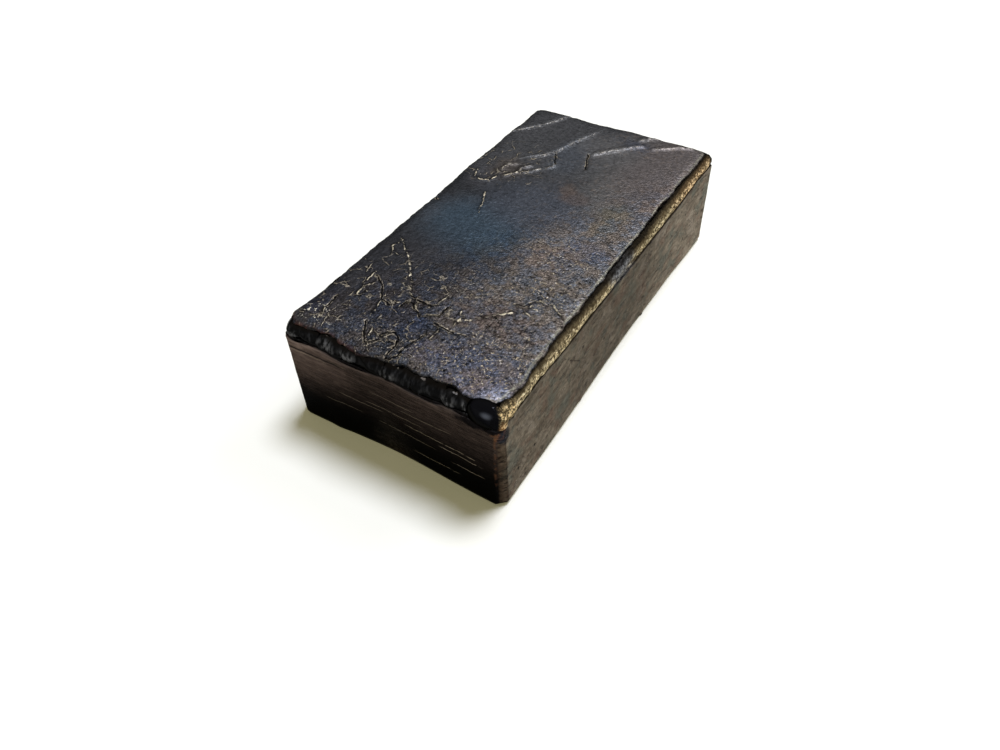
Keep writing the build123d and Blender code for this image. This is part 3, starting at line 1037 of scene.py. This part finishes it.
# %% All of the rim
hidden_rim = blend(band(speckle(9, 3.0), 0.55, 0.67), black_rim, lit(gold_rim, 0.4))
rim = blend(left_side + back_side, black_rim, hidden_rim)
rim = blend(gold_side * (1 - back_side), rim, gold_rim)
drop = patch((32.0, -74.0, 35.0), (5.4, 4.2, 5.6), edge=0.08, ragged=False)
drop_shine = patch((33.4, -75.0, 37.2), (1.2, 2.0, 0.7), edge=0.9, ragged=False)
rim = blend(drop, rim, blend(drop_shine, tone(0.004, 0.004, 0.005), tone(0.060, 0.065, 0.080)))
# Painted shade high on the bead under the crust, and in the groove beside the lip.
crust_shade = band(rise, shade_start, shade_start + 0.22) * (1 - 0.6 * drop)
groove_shade = band(rise, 0.12, 0.02)
rim = blend(crust_shade * 0.9, rim, tone(0.005, 0.004, 0.003))
rim = blend(groove_shade * 0.85, rim, tone(0.004, 0.003, 0.003))
report("rim")

# %% [markdown]
# ## The walls
# The walls took the iron mould's skin: brown, with fine level lines where the rising metal froze
# for a moment, soft streaks and a few pits. The front wall gets painted shade toward its foot,
# where it is nearly black.

# %% Front wall
front_side = band(along, -73.6, -75.2)
level_lines = speckle((11.0, 11.0, 0.42), 4.0, 0.65)
wall_mottle = speckle((4.0, 4.0, 2.2), 5.0, 0.7)
front_wall = blend(band(level_lines, 0.36, 0.68), tone(0.021, 0.0155, 0.013),
                   tone(0.043, 0.032, 0.026))
front_wall = lit(front_wall, 0.35 + 1.3 * wall_mottle)
front_wall = blend(patch((-38, -76, 25), (20, 20, 16)) * 0.85, front_wall, lit(front_wall, 3.0))
# Painted shade: darker toward the foot, nearly black there.
front_wall = lit(front_wall, 0.02 + 1.35 * band(height + 5 * (cloud - 0.5), 8, 34))

# %% [markdown]
# Fine pale hairlines run almost level across the front wall: each is an edge where the rising metal
# halted against the mould. Each is the distance from a slightly sloping line, cut thin and broken.

# %% Hairlines of the front wall
HAIRLINE = 0.13                       # half width of a hairline
# Each hairline: height in the middle, slope, where it starts and ends, strength
HAIRLINES = [(16.6, -0.02, 4, 31, 1.0), (14.6, -0.03, 16, 32, 0.9), (10.2, 0.0, 20, 33, 0.8),
             (6.4, 0.01, 6, 24, 0.8), (19.4, 0.0, -10, 12, 0.5), (12.4, -0.01, -6, 16, 0.6),
             (22.5, 0.01, 2, 22, 0.45), (17.8, -0.01, -20, -2, 0.45), (24.4, 0.0, -8, 10, 0.4),
             (13.4, 0.01, -26, -10, 0.35), (28.6, 0.03, -36, -20, 0.6), (30.0, 0.0, -21, -13, 0.5)]
line_wobble = 1.8 * (speckle((8.0, 8.0, 50.0), 4.0, 0.62) - 0.5)
line_break = band(speckle((3.0, 3.0, 1.0), 2.0), 0.30, 0.44)
for line_height, slope, start, end, strength in HAIRLINES:
    away = abs(height - slope * (across - (start + end) / 2) + (line_wobble - line_height))
    share = band(away, HAIRLINE, 0.03) * band(across, start, start + 3) * band(across, end, end - 3)
    front_wall = blend(share * line_break * strength, front_wall, tone(0.30, 0.25, 0.18))
lap_shadow = band(abs(height - 29.4 + line_wobble - 0.03 * (across + 28)), 0.6, 0.1)
front_wall = blend(lap_shadow * band(across, -14, -20) * 0.8, front_wall, tone(0.003, 0.003, 0.003))
report("front wall")

# %% [markdown]
# The other walls are a plain brown with grey, brown and pale blots in streaks along the wall. The
# back and left walls can't be seen in the photograph, and they face the lamp, so they get the same
# finish in a darker tone.

# %% Right, back and left walls
side_streaks = speckle((7.0, 7.0, 1.8), 5.0, 0.68)
blots = speckle(9, 5.0, 0.65)
brown_blots = speckle((7.0, 7.0, 5.0), 4.0, 0.6)
side_wall = blend(band(side_streaks, 0.25, 0.75), tone(0.100, 0.083, 0.064),
                  tone(0.235, 0.200, 0.155))
side_wall = blend(band(blots, 0.5, 0.60) * 0.6, side_wall, tone(0.110, 0.118, 0.100))
side_wall = blend(band(brown_blots, 0.52, 0.64) * 0.6, side_wall, tone(0.150, 0.105, 0.080))
side_wall = blend(band(blots, 0.46, 0.34) * 0.5, side_wall, tone(0.270, 0.232, 0.190))
side_wall = lit(side_wall, 2.0 * leather)
# Painted light: the side walls a little darker after their front end and lighter toward the back.
far_light = 1 - 0.16 * band(along, -40, -20) + 0.50 * band(along, 12, 45)
side_wall = lit(side_wall, far_light)
front_or_right = (1 - band(across, -35.6, -36.6)) * (1 - band(along, 73.4, 74.4))
side_wall = lit(side_wall, 0.45 + 0.55 * front_or_right)

# %% Splits, pits and scratches
split_line = abs(speckle((9.0, 9.0, 1.4), 4.0, 0.6) - 0.5)
splits = band(split_line, 0.030, 0.008) * band(speckle((5.0, 5.0, 2.0), 3.0), 0.46, 0.56)
side_wall = blend(splits * 0.75, side_wall, tone(0.016, 0.012, 0.009))
pit_field = cells(strayed(2.0, 1.0), 6.5) + 0.2 * speckle(1.2)
pits = band(pit_field, 0.21, 0.15)
side_wall = blend(pits * 0.9, side_wall, tone(0.006, 0.005, 0.004))
# Each scratch on the right wall: from (y, z) to (y, z)
SCRATCHES = [((-42.5, 31.0), (-30.0, 20.0)), ((-44.0, 27.0), (-34.0, 25.5)),
             ((-27.4, 20.2), (-26.4, 20.8))]
for (y0, z0), (y1, z1) in SCRATCHES:
    length = math.hypot(y1 - y0, z1 - z0)
    way_y, way_z = (y1 - y0) / length, (z1 - z0) / length
    travel = (along - y0) * way_y + (height - z0) * way_z
    off = abs((height - z0) * way_y - (along - y0) * way_z + 1.4 * (mottle - 0.5))
    share = band(off, 0.34, 0.08) * band(travel, -0.3, 0.3) * band(travel, length + 0.3, length - 0.3)
    share = share * band(across, 34, 36) * broken
    side_wall = blend(share * 0.8, side_wall, tone(0.020, 0.016, 0.012))

# %% Painted shade at the edges of the walls
# Painted shade just under the lip and at the foot of the walls.
lip_shade = band(height + 1.6 * (mottle - 0.5), 29.5, 32.4)
side_wall = lit(side_wall, 1 - 0.35 * lip_shade)
foot_shade = band(height + 1.2 * (mottle - 0.5), 1.6, 0.2)
side_wall = lit(side_wall, 1 - 0.7 * foot_shade)
report("side walls")

# %% [markdown]
# The bevel of the near corner is darker than the wall beside it, with rust at its top where the
# bare metal ends, a rusty arris and a black shadow under the drop.

# %% Near corner of the walls
wall = blend(front_side, side_wall, front_wall)
bevel = band(across, 35.9, 36.5) * band(along + 0.8 * (mottle - 0.5), -72.6, -73.3)
wall = blend(bevel * 0.85, wall, tinted(side_wall, (0.26, 0.215, 0.185)))
rust = patch((36.9, -75.0, 31.2), (2.2, 2.2, 2.2)) * band(foil, 0.46, 0.56) * 0.9
wall = blend(rust, wall, tone(0.24, 0.105, 0.045))
wall = blend(patch((37.8, -73.6, 29.4), (1.8, 1.8, 2.6)) * 0.8, wall, tone(0.010, 0.015, 0.024))
arris = band(abs(across - 35.6 + 0.9 * (mottle - 0.5)), 0.6, 0.1) * front_side * broken
wall = blend(arris * band(height, 6, 16) * 0.6, wall, tone(0.070, 0.034, 0.018))
wall = blend(attribute("worn") * 0.4, wall, lit(wall, 1.8))
under_drop = patch((31, -76, 32.6), (6.5, 4, 2.4), edge=0.25)
wall = blend(under_drop, wall, tone(0.005, 0.004, 0.004))
report("walls")

# %% [markdown]
# ## The finish as a whole
# The mesh's shares say which colour counts where. The same noise that coloured each part also gives
# its bump, so that light and colour agree. The metal is under oxide nearly everywhere, so it is
# rougher and less reflective than clean metal, and the bare rim is a little rougher than the
# glossy black one.

# %% Put the colours together
colour = blend(attribute("on_wall"), blend(attribute("on_bead"), crust, rim), wall)
# The crust's underside gets its painted shade.
colour = blend(attribute("under_crust"), colour, underside_shade_and_red)

# %% Bump and shine
crust_bump = leather * (0.14 + 0.20 * coarse) - pebble * (0.03 + 0.25 * coarse)
crust_bump = crust_bump + 0.2 * crest + 0.1 * wrinkle - 0.2 * crease + 0.12 * curl
rim_bump = 0.60 * foil * gold_side + 0.05 * upright_streaks
wall_bump = 0.10 * level_lines * front_side + 0.22 * side_streaks + 0.16 * leather
wall_bump = wall_bump - 0.25 * pits - 0.25 * splits
off_crust = attribute("on_wall") + attribute("on_bead")
height_bump = crust_bump * (1 - off_crust) + rim_bump * attribute("on_bead")
height_bump = height_bump + wall_bump * attribute("on_wall")
relief = bench.node("ShaderNodeBump", None, {"Height": height_bump, "Strength": 1.0, "Distance": MM})
rough = 0.45 - 0.15 * coarse + 0.16 * (mottle - 0.5)
rough = rough - attribute("on_bead") * (0.20 - 0.30 * gold_side)
rough = rough + attribute("on_wall") * 0.10
report("bump and shine")

# %% Put the material together
METAL_SHARE = 0.92                    # the oxide takes a little of the metal's shine
EDGE_SHINE = 0.3
PALE_EDGE = tone(0.3, 0.3, 0.3)       # how bright the oxide turns at a glancing angle
shader = bench.node("ShaderNodeBsdfPrincipled", None, {
    "Base Color": colour, "Roughness": rough, "Metallic": METAL_SHARE,
    "Specular IOR Level": EDGE_SHINE, "Specular Tint": PALE_EDGE, "Normal": relief})
bench.node("ShaderNodeOutputMaterial", None, {"Surface": shader})
skin.materials.append(material)
print("nodes:", len(material.node_tree.nodes))

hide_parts("ingot")
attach(ingot, "root")

# %% [markdown]
# ## Floor and light
# The ingot lies on a white floor that the camera sees as pure white, while its shadow stays. So the
# floor gets a little more light of its own for rays from the camera and from glossy metal, and it
# does not fall on the ingot. The surroundings are white for the same rays, and dim for the rest.
# The first lamp stands high behind the ingot, where the light in the photograph comes from, so
# the front wall and the short shadow before it lie away from it. The second, lower and to the
# right, runs along the right edge of the crust and the bare rim.

# %% Floor
FLOOR_SIZE = 6.0
FLOOR_WHITE = (0.97, 0.97, 0.97, 1)
FLOOR_LIFT = 0.13                     # light added for the rays that see the floor directly
LIFT_COLOUR = (1.0, 0.92, 0.46, 1)    # warm, so the shadow is as warm as in the photograph


def seen_directly(tree):
    """1 for a ray from the camera, from glossy metal or through glass, and 0 for any other."""
    camera_ray = tree.node("ShaderNodeLightPath", output="Is Camera Ray")
    seen = camera_ray
    for name in ("Is Glossy Ray", "Is Transmission Ray"):
        seen = seen.math("MAXIMUM", seen, camera_ray.beside(name))
    return seen


floor_material = bpy.data.materials.new("floor")
floor_material.use_nodes = True
floor_material.node_tree.nodes.clear()
paint = Wire(floor_material.node_tree)
matt = paint.node("ShaderNodeBsdfDiffuse", None, {"Color": FLOOR_WHITE})
lift = paint.node("ShaderNodeEmission", None, {"Color": LIFT_COLOUR, "Strength": FLOOR_LIFT})
lifted = paint.node("ShaderNodeAddShader", None, {0: matt, 1: lift})
surface = paint.node("ShaderNodeMixShader", None, {0: seen_directly(paint), 1: matt, 2: lifted})
paint.node("ShaderNodeOutputMaterial", None, {"Surface": surface})

floor_mesh = bpy.data.meshes.new("floor")
half = FLOOR_SIZE / 2
floor_mesh.from_pydata([(-half, -half, 0), (half, -half, 0), (half, half, 0), (-half, half, 0)], [],
                       [(0, 1, 2, 3)])
floor = bpy.data.objects.new("floor", floor_mesh)
bpy.context.scene.collection.objects.link(floor)
floor_mesh.materials.append(floor_material)
print("floor, m:", FLOOR_SIZE)


# %% Lamps
def far_lamp(name, source, brightness, spread, colour):
    """A soft lamp far away. Source points from the ingot toward it."""
    data = bpy.data.lights.new(name, "SUN")
    data.energy = brightness
    data.angle = math.radians(spread)
    data.color = colour
    lamp = bpy.data.objects.new(name, data)
    bpy.context.scene.collection.objects.link(lamp)
    lamp.rotation_mode = "QUATERNION"
    lamp.rotation_quaternion = (-Vector(source)).to_track_quat("-Z", "Y")
    print(name + ":", brightness)


far_lamp("lamp_behind", (0.06, 0.33, 0.94), 2.8, 22, (0.90, 0.93, 1.0))
far_lamp("lamp_right", (0.38, 0.71, 0.59), 0.8, 30, (1.0, 0.99, 0.97))

# %% Surroundings
SOFT_COLOUR = (1.0, 0.92, 0.62, 1)
SOFT_LIGHT = 0.15                     # the light that the surroundings give the ingot
world = bpy.data.worlds.new("studio")
world.use_nodes = True
world.node_tree.nodes.clear()
sky = Wire(world.node_tree)
soft = sky.node("ShaderNodeBackground", None, {"Color": SOFT_COLOUR, "Strength": SOFT_LIGHT})
white = sky.node("ShaderNodeBackground", None, {"Color": (1, 1, 1, 1), "Strength": 1.0})
around = sky.node("ShaderNodeMixShader", None, {0: seen_directly(sky), 1: soft, 2: white})
sky.node("ShaderNodeOutputWorld", None, {"Surface": around})
bpy.context.scene.world = world
bpy.context.scene.view_settings.view_transform = "Standard"
